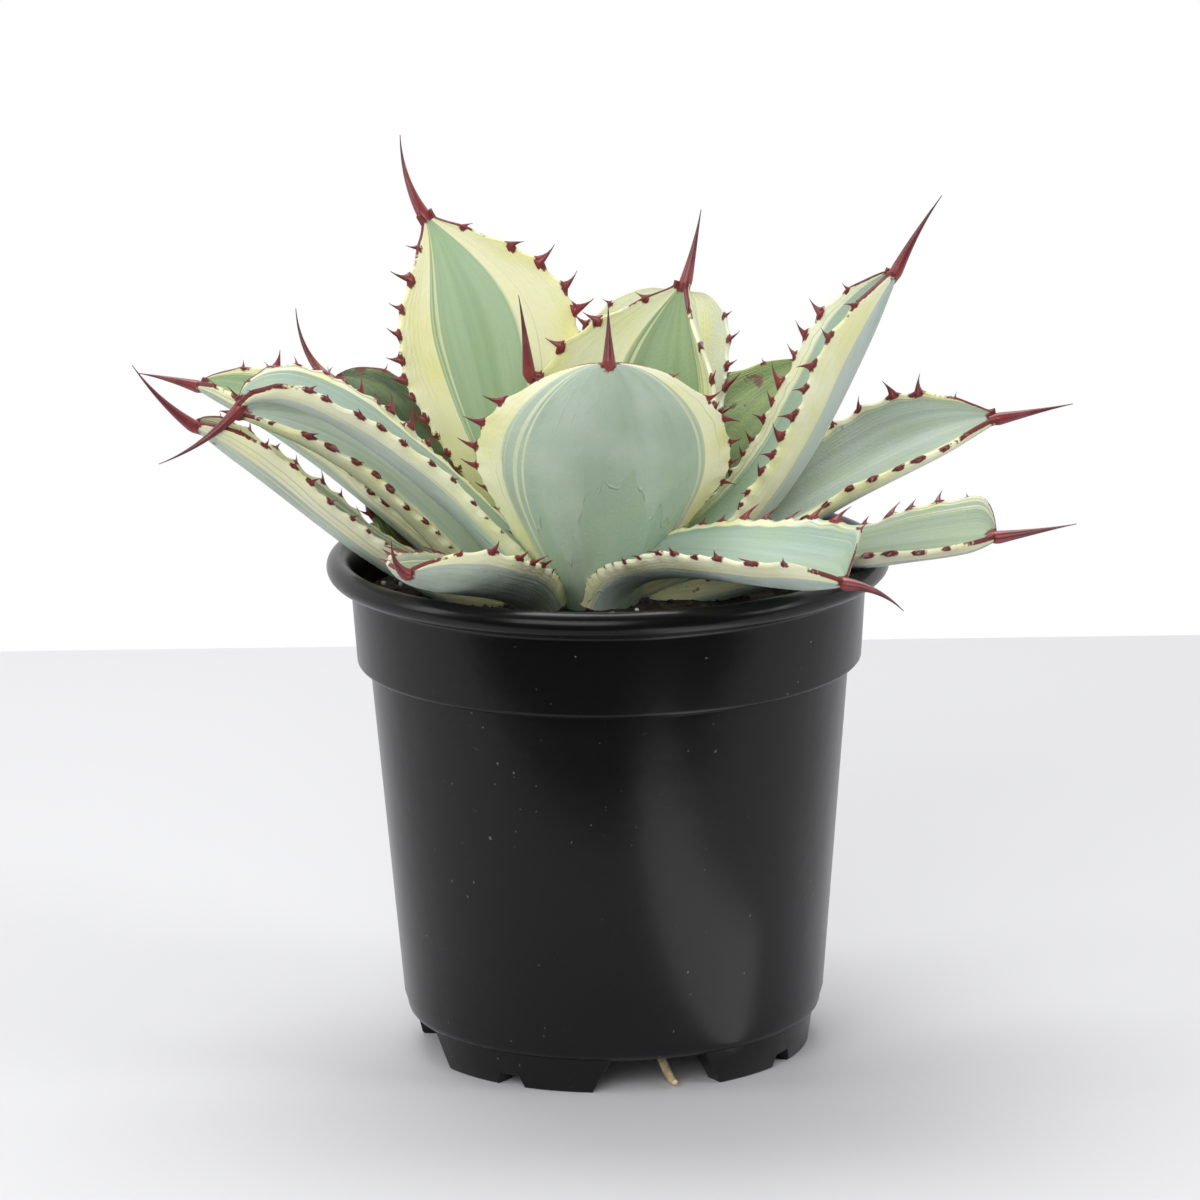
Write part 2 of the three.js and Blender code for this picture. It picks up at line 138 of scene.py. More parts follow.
# Where a low leaf can rest on the pot's lip: a ring with soft edges, and how deep a point may lie
# under the lip's top and still be lifted on to it
REST_INNER = 70
REST_INNER_RAMP = 3.5
REST_OUTER = 86
REST_OUTER_RAMP = 3
REST_GAP = 0.3
REST_DEPTH = 14

# The photograph's camera, from the pot's axis: metres, degrees and a 36 mm wide sensor
CAMERA_PLACE = (0, -2.4046, 0.7166)
CAMERA_PITCH = 13.63
CAMERA_YAW = -0.06
CAMERA_ROLL = -0.8
CAMERA_LENS = 253.1
SENSOR_WIDTH = 36

# The table, in metres: half its width, and its edges behind and in front of the pot's axis. It ends
# close in front, so that the pot's gloss shows the dark side of the room as it does in the photo.
TABLE_HALF_WIDTH = 1.2
TABLE_BACK_EDGE = 0.486
TABLE_FRONT_EDGE = 0.22

# The room's own light on things, where the camera sees plain white. In gloss the side behind the
# camera is dark, and it grows white between two values of a direction's Y.
ROOM_LIGHT = 0.35
DARK_SIDE = 0.05
DARK_BELOW = -0.5
WHITE_ABOVE = 0.3

# Area lights: place and size in metres, and watts; they all shine at the same point
LIGHT_TARGET = (0, 0, 0.14)
LIGHTS = {
    "overhead": ((-0.15, 0.5, 1.4), (1.0, 0.8), 12.5),
    "front": ((-0.5, -1.6, 0.9), (1.4, 1.0), 17),
    "right_side": ((1.3, -0.5, 0.7), (0.5, 0.9), 6),
    "left_side": ((-1.4, -0.3, 0.7), (0.5, 0.9), 5),
}

# The soft highlight on the pot's wall: a light on the table, from the pot's axis, that shines
# upwards and is only seen in gloss
GLEAM_PLACE = (0.085, -0.16, 0.002)
GLEAM_SIZE = (0.08, 0.22)
GLEAM_POWER = 0.075

# Leaves from the heart outwards, as in the CAD part. seat is the bearing at which the leaf joins
# the stem, and out and z are how far from the heart's axis and how high. tip is the blade's tip,
# and lift and droop are the rise at the base and at the tip. sway swings the curve sideways, and
# reach is how far its handles go, as a share of the straight way. roll and twist turn the blade
# about its own line. width is the widest place's, wide says where along the blade that is, neck is
# the base's share of it, and a smaller point makes a blunter tip. fold is half the arc of the
# channel, and flare is how far the margins turn outwards again. spine is the end spine's length,
# and aim the bearing and rise that it bends to. look names the leaf's colouring, and bands gives
# where its pale margins start on its right and its left, as shares of the half width.
LEAVES = {
    "bud": dict(
        seat=-157, out=2, z=146, tip=(-21, -2, 202), lift=79, droop=83, width=14, fold=70,
        neck=1.6, spine=24, aim=(-170, 78), toothed=False, look="young",
    ),
    "young": dict(
        seat=60, out=8, z=143, tip=(4, 13, 196), lift=72, droop=84, width=30, fold=60, neck=0.6,
        spine=6, aim=(60, 84), look="young",
    ),
    "right_upright": dict(
        seat=9, out=18, z=140, tip=(23, 21, 224), lift=70, droop=66, sway=-3, width=74, roll=4,
        fold=49, neck=0.4, point=1.1, spine=22, aim=(20, 77), look="green", bands=(0.62, 0.42),
    ),
    "tall_back": dict(
        seat=135, out=13, z=143, tip=(-53, 45, 241), lift=60, droop=43, width=57, roll=-20,
        twist=-12, fold=36, neck=0.3, wide=0.62, point=1.15, reach=0.42, spine=25, aim=(120, 87),
        look="tall", bands=(0.42, 0.55),
    ),
    "front": dict(
        seat=-62, out=19, z=135, tip=(1, -40, 213), lift=62, droop=88, sway=2, width=76, roll=5,
        twist=-12, fold=48, neck=0.3, wide=0.61, point=0.54, spine=17, aim=(-65, 90), flare=40,
        look="front", bands=(0.77, 0.75),
    ),
    "back_pale": dict(
        seat=62, out=16, z=138, tip=(23, 66, 212), lift=62, droop=54, width=57, fold=30,
        wide=0.62, point=0.34, spine=4, aim=(60, 60), look="pale", bands=(0.25, 0.25),
    ),
    "right_keel": dict(
        seat=-14, out=14, z=140, tip=(83, -12, 233), lift=19, droop=62, sway=2, width=40, roll=17,
        twist=-8, fold=60, wide=0.78, reach=0.41, spine=27, aim=(-11, 52), look="keel",
        bands=(0.6, 0.8),
    ),
    "left_upper": dict(
        seat=-105, out=20, z=140, tip=(-106, -32, 201), lift=60, droop=-52, sway=-4, width=30,
        roll=-4, fold=38, wide=0.7, point=1, reach=0.23, spine=29, aim=(-165, -20), look="powder",
        bands=(0.86, 0.7),
    ),
    "left_far": dict(
        seat=164, out=21, z=136, tip=(-120, 34, 193), lift=39, droop=9, sway=-3, width=39,
        roll=-7, fold=48, wide=0.61, point=0.64, reach=0.3, spine=19, aim=(172, 5), look="green",
        bands=(0.8, 0.8),
    ),
    "right_middle": dict(
        seat=12, out=20, z=136, tip=(115, 23, 182), lift=15, droop=8, sway=-6, width=34, roll=5,
        twist=29, fold=48, wide=0.7, point=0.93, reach=0.31, spine=23, aim=(8, 7), look="dull",
        bands=(0.74, 0.93),
    ),
    "left_under": dict(
        seat=-170, out=20, z=137, tip=(-106, -15, 195), lift=54, droop=8, width=36, roll=-32,
        twist=8, fold=45, neck=0.5, wide=0.62, spine=6, aim=(-170, 0), look="dull",
        bands=(0.8, 0.55),
    ),
    "front_right": dict(
        seat=-68, out=21, z=140, tip=(67, -76, 157), lift=52, droop=0, sway=12, width=51, roll=10,
        twist=-10, fold=39, neck=0.34, wide=0.9, point=0.95, reach=0.32, spine=21, aim=(-38, -37),
        look="powder", bands=(0.72, 0.94),
    ),
    "front_left": dict(
        seat=-114, out=21, z=140, tip=(-57, -74, 161), lift=31, droop=23, sway=-10, width=42,
        roll=-4, twist=14, fold=38, neck=0.4, wide=0.68, point=0.48, reach=0.34, spine=12,
        aim=(159, 88), look="scarred", bands=(0.85, 0.8),
    ),
    "back_old": dict(
        seat=38, out=22, z=136, tip=(62, 66, 190), lift=46, droop=30, width=50, fold=30,
        point=0.55, spine=4, aim=(38, 30), look="spotted", bands=(0.95, 0.95),
    ),
    "left_old": dict(
        seat=158, out=24, z=135, tip=(-81, 47, 191), lift=14, droop=17, sway=-6, width=40,
        roll=-15, twist=-3, fold=28, wide=0.53, point=0.4, reach=0.39, spine=26, aim=(160, 86),
        look="old", bands=(0.97, 0.97),
    ),
    "right_low": dict(
        seat=-16, out=24, z=137, tip=(112, -30, 159), lift=15, droop=8, width=37, roll=-2,
        twist=14, fold=28, neck=0.2, wide=0.93, point=0.6, spine=24, aim=(-7, 9), look="scarred",
        bands=(0.68, 0.9),
    ),
    "left_low": dict(
        seat=-150, out=23, z=137, tip=(-118, -26, 194), lift=16, droop=34, sway=4, width=27,
        roll=-8, twist=12, fold=49, neck=0.4, wide=0.82, point=0.54, spine=26, aim=(-174, 54),
        look="scarred", bands=(0.8, 0.6),
    ),
    "back_low": dict(
        seat=95, out=22, z=137, tip=(-16, 104, 172), lift=34, droop=6, width=48, fold=40,
        spine=20, aim=(98, 12), look="green", bands=(0.68, 0.7),
    ),
    "back_low_right": dict(
        seat=74, out=22, z=136, tip=(36, 96, 162), lift=24, droop=8, width=46, fold=35, spine=18,
        aim=(70, 10), look="old", bands=(0.88, 0.9),
    ),
    "back_low_left": dict(
        seat=118, out=22, z=136, tip=(-66, 90, 167), lift=23, droop=7, width=46, fold=40,
        spine=18, aim=(122, 16), look="green", bands=(0.72, 0.7),
    ),
}
LEAF_DEFAULTS = dict(
    sway=0, roll=0, twist=0, neck=0.45, wide=0.58, point=0.8, reach=0.36, toothed=True,
    flare=12, bands=(0.65, 0.65),
)
OLD_LEAVES = ("back_old", "left_old")

# How each look colours a blade: the middle's two greens, the pale band's colour, how much powder
# lies on the outer face, how scarred it is, and how dark the base's painted shade is where it shows
LOOKS = {
    "front": dict(green="a8bca4", deep="9cb298", cream="f2f1d0", powder=0.4, scars=0.03,
                  painted_base_shade=0.75),
    "tall": dict(green="acc4a0", deep="9cb690", cream="f3f1c8", powder=0.2, scars=0.03),
    "green": dict(green="98af86", deep="869e74", cream="eeeeca", powder=0.35, scars=0.06),
    "keel": dict(green="aabfb0", deep="9ab2a2", cream="f3f2d4", powder=0.8, scars=0.03),
    "powder": dict(green="a8bcae", deep="98ae9e", cream="f0efce", powder=0.7, scars=0.06),
    "dull": dict(green="b8c6b8", deep="a6b4a6", cream="eeeecc", powder=0.5, scars=0.1),
    "pale": dict(green="c3d2b0", deep="b4c6a4", cream="e6ead0", powder=0.1, scars=0.02),
    "young": dict(green="9fb586", deep="8fa878", cream="e6e9b8", powder=0.1, scars=0.0),
    "old": dict(green="4e6142", deep="43543a", cream="707c56", powder=0.1, scars=1.0),
    "spotted": dict(green="7f9454", deep="6c8450", cream="98a470", powder=0.15, scars=0.9),
    "scarred": dict(green="a2b29c", deep="94a48e", cream="e8e7c6", powder=0.5, scars=0.3),
}


def colour(text):
    """A linear colour with alpha from six hexadecimal digits of an everyday screen colour."""
    shares = [int(text[i:i + 2], 16) / 255 for i in (0, 2, 4)]
    return tuple(v / 12.92 if v < 0.04045 else ((v + 0.055) / 1.055) ** 2.4 for v in shares) + (1,)


def direction(bearing, rise):
    """The unit vector that points to a bearing and a rise."""
    b, e = math.radians(bearing), math.radians(rise)
    return np.array([math.cos(e) * math.cos(b), math.cos(e) * math.sin(b), math.sin(e)])


def unit(vectors):
    return vectors / np.linalg.norm(vectors, axis=-1, keepdims=True)


# Node graphs

class Shader:
    """A material being built round its Principled BSDF."""

    def __init__(self, name, roughness):
        self.material = bpy.data.materials.new(name)
        self.material.use_nodes = True
        self.tree = self.material.node_tree
        self.surface = self.tree.nodes["Principled BSDF"]
        self.surface.inputs["Roughness"].default_value = roughness

    def set(self, name, value):
        """Puts a value or another node's output on one of the BSDF's sockets."""
        self.feed(self.surface.inputs[name], value)

    def feed(self, socket, value):
        if isinstance(value, bpy.types.NodeSocket):
            self.tree.links.new(value, socket)
        elif value is not None:
            socket.default_value = value

    def attribute(self, name):
        node = self.tree.nodes.new("ShaderNodeAttribute")
        node.attribute_name = name
        return node.outputs["Fac"]

    def place(self):
        return self.tree.nodes.new("ShaderNodeTexCoord").outputs["Object"]

    def math(self, operation, a, b=None, clamp=False):
        node = self.tree.nodes.new("ShaderNodeMath")
        node.operation = operation
        node.use_clamp = clamp
        self.feed(node.inputs[0], a)
        self.feed(node.inputs[1], b)
        return node.outputs[0]

    def combine(self, x, y, z=0.0):
        node = self.tree.nodes.new("ShaderNodeCombineXYZ")
        for socket, value in zip(node.inputs, (x, y, z)):
            self.feed(socket, value)
        return node.outputs[0]

    def noise(self, vector, scale, detail=3.0):
        node = self.tree.nodes.new("ShaderNodeTexNoise")
        self.feed(node.inputs["Vector"], vector)
        node.inputs["Scale"].default_value = scale
        node.inputs["Detail"].default_value = detail
        return node.outputs["Fac"]

    def step(self, value, low, high):
        """0 below low, 1 above high, and smooth between; high below low turns it round."""
        node = self.tree.nodes.new("ShaderNodeMapRange")
        node.interpolation_type = "SMOOTHSTEP"
        self.feed(node.inputs["Value"], value)
        turned = low > high
        node.inputs["From Min"].default_value = min(low, high)
        node.inputs["From Max"].default_value = max(low, high)
        node.inputs["To Min"].default_value = 1 if turned else 0
        node.inputs["To Max"].default_value = 0 if turned else 1
        return node.outputs["Result"]

    def mix(self, share, a, b):
        node = self.tree.nodes.new("ShaderNodeMix")
        node.data_type = "RGBA"
        self.feed(node.inputs[0], share)
        self.feed(node.inputs[6], a)
        self.feed(node.inputs[7], b)
        return node.outputs[2]

    def bump(self, height, distance, normal=None):
        node = self.tree.nodes.new("ShaderNodeBump")
        node.inputs["Distance"].default_value = distance
        self.feed(node.inputs["Height"], height)
        self.feed(node.inputs["Normal"], normal)
        return node.outputs["Normal"]


def blade_material(name, look, bands, seed):
    """Grey-green middle, cream bands with streaks, powder, bud imprints, scars and a horny rim."""
    g = Shader(name, 0.52)
    across, along = g.attribute("across"), g.attribute("along")
    outer, horny = g.attribute("outer"), g.attribute("horn")
    side = g.math("ABSOLUTE", across)
    left = g.step(across, -0.02, 0.02)
    right_edge, left_edge = bands
    edge = g.math("ADD", g.math("MULTIPLY", left, left_edge - right_edge), right_edge)

    # Streaks run the length of the blade and gather where its green meets the pale band
    drawn_out = g.math("MULTIPLY", along, 0.22)
    fine = g.noise(g.combine(g.math("MULTIPLY", across, 9), drawn_out, seed), 2.0, 4)
    broad = g.noise(g.combine(g.math("MULTIPLY", across, 3), g.math("MULTIPLY", along, 0.5), seed),
                    1.6, 2)
    cloud = g.noise(g.combine(across, g.math("MULTIPLY", along, 2.5), seed), 2.4, 4)
    wander = g.math("MULTIPLY", g.math("SUBTRACT", broad, 0.5), 0.3)
    shift = g.math("SUBTRACT", g.math("ADD", side, wander), edge)
    band = g.step(shift, -0.035, 0.035)
    depth = g.math("ABSOLUTE", shift)
    streak = g.step(g.math("SUBTRACT", fine, g.math("MULTIPLY", depth, 0.8)), 0.5, 0.55)
    turned = g.math("ABSOLUTE", g.math("SUBTRACT", band, g.math("MULTIPLY", streak, 0.6)))

    green = g.mix(g.step(broad, 0.35, 0.65), colour(look["green"]), colour(look["deep"]))
    lively = g.mix(0.25, green, colour("a2b878"))
    green = g.mix(g.step(cloud, 0.42, 0.66), green, lively)
    cream = g.mix(g.step(cloud, 0.4, 0.75), colour(look["cream"]), colour("edeaa6"))
    skin = g.mix(turned, green, cream)
    greener = g.mix(0.55, cream, colour("c6cc82"))
    skin = g.mix(g.math("MULTIPLY", g.step(along, 0.35, 0.02), band), skin, greener)

    # Powder on the outer face; low in its middle the next leaf has rubbed it off, up to a ragged
    # edge that shows as a pale raised line
    jitter = g.math("ADD", g.math("MULTIPLY", broad, 2.2), g.math("MULTIPLY", cloud, 0.7))
    saw = g.math("PINGPONG", g.math("ADD", g.math("MULTIPLY", across, 3.4), jitter), 0.5)
    crest = g.math("ADD", g.math("MULTIPLY", saw, 0.07), g.math("MULTIPLY", broad, 0.9))
    crest = g.math("SUBTRACT", crest, g.math("MULTIPLY", g.math("MULTIPLY", side, side), 0.6))
    worn = g.math("SUBTRACT", crest, along)
    rubbed = g.math("MULTIPLY", g.step(worn, -0.004, 0.012), g.step(cloud, 0.25, 0.55))
    bare = g.math("MAXIMUM", g.math("MULTIPLY", rubbed, 0.5), g.math("MULTIPLY", turned, 0.85))
    powder = g.math("MULTIPLY", g.math("SUBTRACT", 1.0, bare), outer)
    powder = g.math("MULTIPLY", powder, g.math("ADD", g.step(cloud, 0.3, 0.7), 0.5))
    powder = g.math("MULTIPLY", powder, look["powder"], clamp=True)
    skin = g.mix(powder, skin, colour("c4d0ca"))
    imprint = g.math("MULTIPLY", g.step(g.math("ABSOLUTE", worn), 0.01, 0.0), outer)
    imprint = g.math("MULTIPLY", imprint, g.step(fine, 0.4, 0.6))
    skin = g.mix(g.math("MULTIPLY", imprint, 0.25), skin, colour("dfe6dc"))

    # Painted shade: the base, deep between its neighbours, is darkened in its colour for the shadow
    # there
    if look.get("painted_base_shade"):
        low = g.math("MULTIPLY", g.step(along, 0.22, 0.03), look["painted_base_shade"])
        skin = g.mix(low, skin, colour("46543a"))

    # Brown scars, then the horny margin near the tip and round the teeth
    place = g.place()
    scarred = look["scars"]
    spots = g.math("ADD", g.noise(place, 120, 4), g.math("MULTIPLY", side, 0.1 * scarred))
    scars = g.step(spots, 0.76 - 0.13 * scarred, 0.79 - 0.13 * scarred)
    scars = g.math("MULTIPLY", scars, min(1.0, 0.35 + scarred))
    skin = g.mix(scars, skin, colour("6e4c35"))
    ragged = g.math("MULTIPLY", g.math("SUBTRACT", g.noise(place, 700, 2), 0.5), 0.5)
    horn = g.step(g.math("ADD", horny, ragged), 0.42, 0.56)
    skin = g.mix(horn, skin, colour("6e2a26"))
    g.set("Base Color", skin)

    grain = g.bump(g.noise(place, 900, 3), 0.0002)
    ribs = g.noise(g.combine(g.math("MULTIPLY", across, 26), g.math("MULTIPLY", along, 2), seed), 1)
    ribbed = g.bump(ribs, 0.0003, grain)
    g.set("Normal", g.bump(imprint, 0.0003, ribbed))
    g.set("Subsurface Weight", 0.12)
    g.set("Subsurface Radius", (0.5, 1.0, 0.3))
    g.set("Subsurface Scale", 0.003)
    g.set("Specular IOR Level", 0.4)
    return g.material


def horn_material():
    """Teeth and spines: glossy red-brown, redder at the root and darker towards the point."""
    g = Shader("horn", 0.36)
    along, place = g.attribute("along"), g.place()
    worn = g.noise(place, 110, 3)
    body = g.mix(g.step(along, 1.0, 1.5), colour("8c2c30"), colour("6a2a2e"))
    body = g.mix(g.step(along, 1.5, 2.0), body, colour("4f3236"))
    body = g.mix(g.math("MULTIPLY", g.step(worn, 0.45, 0.7), 0.45), body, colour("9a5a55"))
    g.set("Base Color", body)
    g.set("Normal", g.bump(g.noise(place, 400, 2), 0.00006))
    g.set("Coat Weight", 0.15)
    return g.material


def plastic_material():
    """Black moulded plastic with faint scuffs and pale dust."""
    g = Shader("pot_plastic", 0.25)
    place = g.place()
    haze = g.noise(place, 9, 5)
    g.set("Roughness", g.math("ADD", g.math("MULTIPLY", haze, 0.14), 0.2))
    dust = g.step(g.noise(place, 420, 2), 0.74, 0.78)
    base = g.mix(g.step(haze, 0.3, 0.8), colour("0c0c0d"), colour("131315"))
    g.set("Base Color", g.mix(g.math("MULTIPLY", dust, 0.4), base, colour("8c8478")))
    g.set("Normal", g.bump(g.noise(place, 60, 3), 0.0002))
    g.set("Specular IOR Level", 0.26)
    return g.material


def rough_material(name, first, second, scale, depth):
    """A dull material that wanders between two colours, for soil, grains, stem and root."""
    g = Shader(name, 0.9)
    place = g.place()
    g.set("Base Color", g.mix(g.step(g.noise(place, scale, 5), 0.35, 0.65),
                              colour(first), colour(second)))
    g.set("Normal", g.bump(g.noise(place, 3 * scale, 4), depth))
    return g.material


def plain_material(name, text, roughness):
    g = Shader(name, roughness)
    g.set("Base Color", colour(text))
    return g.material


# Meshes

class Skin:
    """Points, faces and point values gathered for one mesh, in millimetres from the pot's axis."""

    def __init__(self):
        self.points = []
        self.faces = []
        self.slots = []
        self.values = []

    def add(self, points, faces, slot=0, values=None):
        start = len(self.points)
        self.points.extend(points)
        self.faces.extend([[start + i for i in face] for face in faces])
        self.slots.extend([slot] * len(faces))
        self.values.extend(values if values is not None else [(0, 0, 0, 0)] * len(points))

    def object(self, name, materials, names=()):
        mesh = bpy.data.meshes.new(name)
        mesh.from_pydata([place(p) for p in self.points], [], self.faces)
        for material in materials:
            mesh.materials.append(material)
        mesh.polygons.foreach_set("material_index", self.slots)
        mesh.polygons.foreach_set("use_smooth", [True] * len(self.faces))
        for column, label in enumerate(names):
            layer = mesh.attributes.new(label, "FLOAT", "POINT")
            layer.data.foreach_set("value", [row[column] for row in self.values])
        obj = bpy.data.objects.new(name, mesh)
        bpy.context.collection.objects.link(obj)
        return obj


def tube_faces(rings, sides, closed=True):
    """Quads between rings of the same number of points, with a fan at each end if closed."""
    faces = []
    for r in range(rings - 1):
        for k in range(sides):
            a, b = r * sides + k, r * sides + (k + 1) % sides
            faces.append([a, a + sides, b + sides, b])
    if closed:
        last = (rings - 1) * sides
        faces.append(list(range(sides)))
        faces.append([last + k for k in reversed(range(sides))])
    return faces


def tube(skin, line, radii, sides, slot=0, start=0.0, end=1.0):
    """A round tube along a line of points; its point values run along it from start to end."""
    line = np.asarray(line, float)
    ways = unit(np.gradient(line, axis=0))
    first = unit(np.cross(ways[0], [0.3, 0.5, 0.81]))
    points, values = [], []
    for i, (at, way, radius) in enumerate(zip(line, ways, radii)):
        first = unit(first - way * np.dot(first, way))
        second = np.cross(way, first)
        share = start + (end - start) * i / (len(line) - 1)
        for k in range(sides):
            angle = -2 * math.pi * k / sides
            points.append(at + radius * (math.cos(angle) * first + math.sin(angle) * second))
            values.append((0, share, 0, 0))
    skin.add(points, tube_faces(len(line), sides), slot, values)


def lathe(skin, profile, sides):
    """A closed profile of radius and height turned round the pot's axis."""
    count = len(profile)
    points = []
    for k in range(sides):
        angle = 2 * math.pi * k / sides
        points.extend((r * math.cos(angle), r * math.sin(angle), z) for r, z in profile)
    faces = []
    for k in range(sides):
        here, there = k * count, ((k + 1) % sides) * count
        for i in range(count):
            j = (i + 1) % count
            faces.append([here + i, there + i, there + j, here + j])
    skin.add(points, faces)


def lump(skin, centre, size, squash, rng, roughness=0.35, level=1):
    """An irregular grain: a small ball pushed in and out by noise."""
    points, faces = BALLS[level]
    shift = Vector((rng.random() * 50, rng.random() * 50, rng.random() * 50))
    turn = Matrix.Rotation(rng.random() * math.tau, 3, "Z")
    placed = []
    for p in points:
        push = 1 + roughness * noise.noise(Vector(p) * 1.9 + shift) * 2
        q = turn @ (Vector(p) * (size / 2) * push)
        placed.append((centre[0] + q.x, centre[1] + q.y * 0.86, centre[2] + q.z * squash))
    skin.add(placed, faces)


def ball(level):
    """Points and faces of a ball of triangles with radius 1."""
    form = bmesh.new()
    bmesh.ops.create_icosphere(form, subdivisions=level, radius=1)
    points = [tuple(v.co) for v in form.verts]
    faces = [[v.index for v in face.verts] for face in form.faces]
    form.free()
    return points, faces


# Blades

def outline(leaf, s):
    """The blade's width at each s, as a share of the widest place's."""
    rise = np.sin(np.pi / 2 * np.minimum(s / leaf["wide"], 1)) ** NECK_EXPONENT
    t = np.clip((s - leaf["wide"]) / (1 - leaf["wide"]), 0, 1)
    taper = np.cos(np.pi / 2 * t) ** leaf["point"]
    return np.where(s < leaf["wide"], leaf["neck"] + (1 - leaf["neck"]) * rise, taper)


def centreline(leaf, s):
    """The blade's line, its direction, its own left and its upper face's normal at each s."""
    base = HEART + leaf["out"] * direction(leaf["seat"], 0)
    base[2] = leaf["z"]
    tip = np.array(leaf["tip"], float)
    chord = tip - base
    bearing = math.degrees(math.atan2(chord[1], chord[0]))
    hold = np.linalg.norm(chord) * leaf["reach"]
    near = base + hold * direction(bearing - leaf["sway"], leaf["lift"])
    far = tip - hold * direction(bearing + leaf["sway"], leaf["droop"])
    t = s[:, None]
    line = (base * (1 - t) ** 3 + 3 * near * t * (1 - t) ** 2 + 3 * far * t ** 2 * (1 - t)
            + tip * t ** 3)
    way = unit((near - base) * (1 - t) ** 2 + 2 * (far - near) * t * (1 - t)
               + (tip - far) * t ** 2)
    level = direction(bearing + 90, 0)
    left = unit(level - way * (way @ level)[:, None])
    up = np.cross(way, left)
    turn = np.radians(leaf["roll"] + leaf["twist"] * s)[:, None]
    left, up = left * np.cos(turn) + up * np.sin(turn), up * np.cos(turn) - left * np.sin(turn)
    return line, way, left, up


def tooth_places(length, rng):
    """Where along a margin its teeth stand, closer together towards the base."""
    last = max(9, round(length / TOOTH_SPACING))
    shares = (np.arange(last + 1) / last) ** TOOTH_SPREAD
    places = FIRST_TOOTH + (LAST_TOOTH - FIRST_TOOTH) * shares
    return np.array([p + rng.uniform(-TOOTH_JITTER, TOOTH_JITTER) for p in places])


def tooth_sizes(leaf, places, rng):
    """Lengths of the teeth at those places: tiny at the base and longest above the middle."""
    sizes = []
    for share in places:
        up = min(1, (share / LONGEST_TOOTH_PLACE) ** 1.6)
        grown = SMALLEST_TOOTH + (1 - SMALLEST_TOOTH) * math.sin(math.pi / 2 * up)
        worn = WORN_TOOTH if share > WORN_TOOTH_PLACE else 1
        sizes.append(TOOTH_LENGTH * grown * worn * rng.uniform(0.7, 1.1)
                     * min(1, leaf["width"] / 40))
    return np.array(sizes)


def rest_on_rim(points):
    """Lifts what would sink into the pot's lip, so that a low leaf lies on it."""
    radius = np.hypot(points[..., 0], points[..., 1])
    over = (np.clip((radius - REST_INNER) / REST_INNER_RAMP, 0, 1)
            * np.clip((REST_OUTER - radius) / REST_OUTER_RAMP, 0, 1))
    floor = POT_HEIGHT + REST_GAP
    lifted = points.copy()
    lift = np.maximum(floor - points[..., 2], 0) * over
    lifted[..., 2] += np.where(points[..., 2] > POT_HEIGHT - REST_DEPTH, lift, 0)
    return lifted


def add_tooth(skin, root, outward, along, normal, length, lean):
    """A flattened hooked thorn standing on the margin, its foot sunk into the blade."""
    rings, sides = 6, 8
    points, values = [], []
    for i in range(rings):
        t = i / (rings - 1)
        centre = root + outward * length * (1.25 * t - 0.25) + along * lean * length * t * t
        wide = (1.5 * (1 - t) ** 1.7 + 0.07) * length / 4
        thick = (0.6 * (1 - t) ** 1.1 + 0.07) * length / 4
        for k in range(sides):
            angle = 2 * math.pi * k / sides
            points.append(centre + along * wide * math.cos(angle)
                          + normal * thick * math.sin(angle))
            values.append((0, 1 + 0.6 * t, 0, 0))
    flip = np.dot(np.cross(along, normal), outward) > 0
    faces = tube_faces(rings, sides)
    if flip:
        faces = [face[::-1] for face in faces]
    skin.add(points, faces, 1, values)


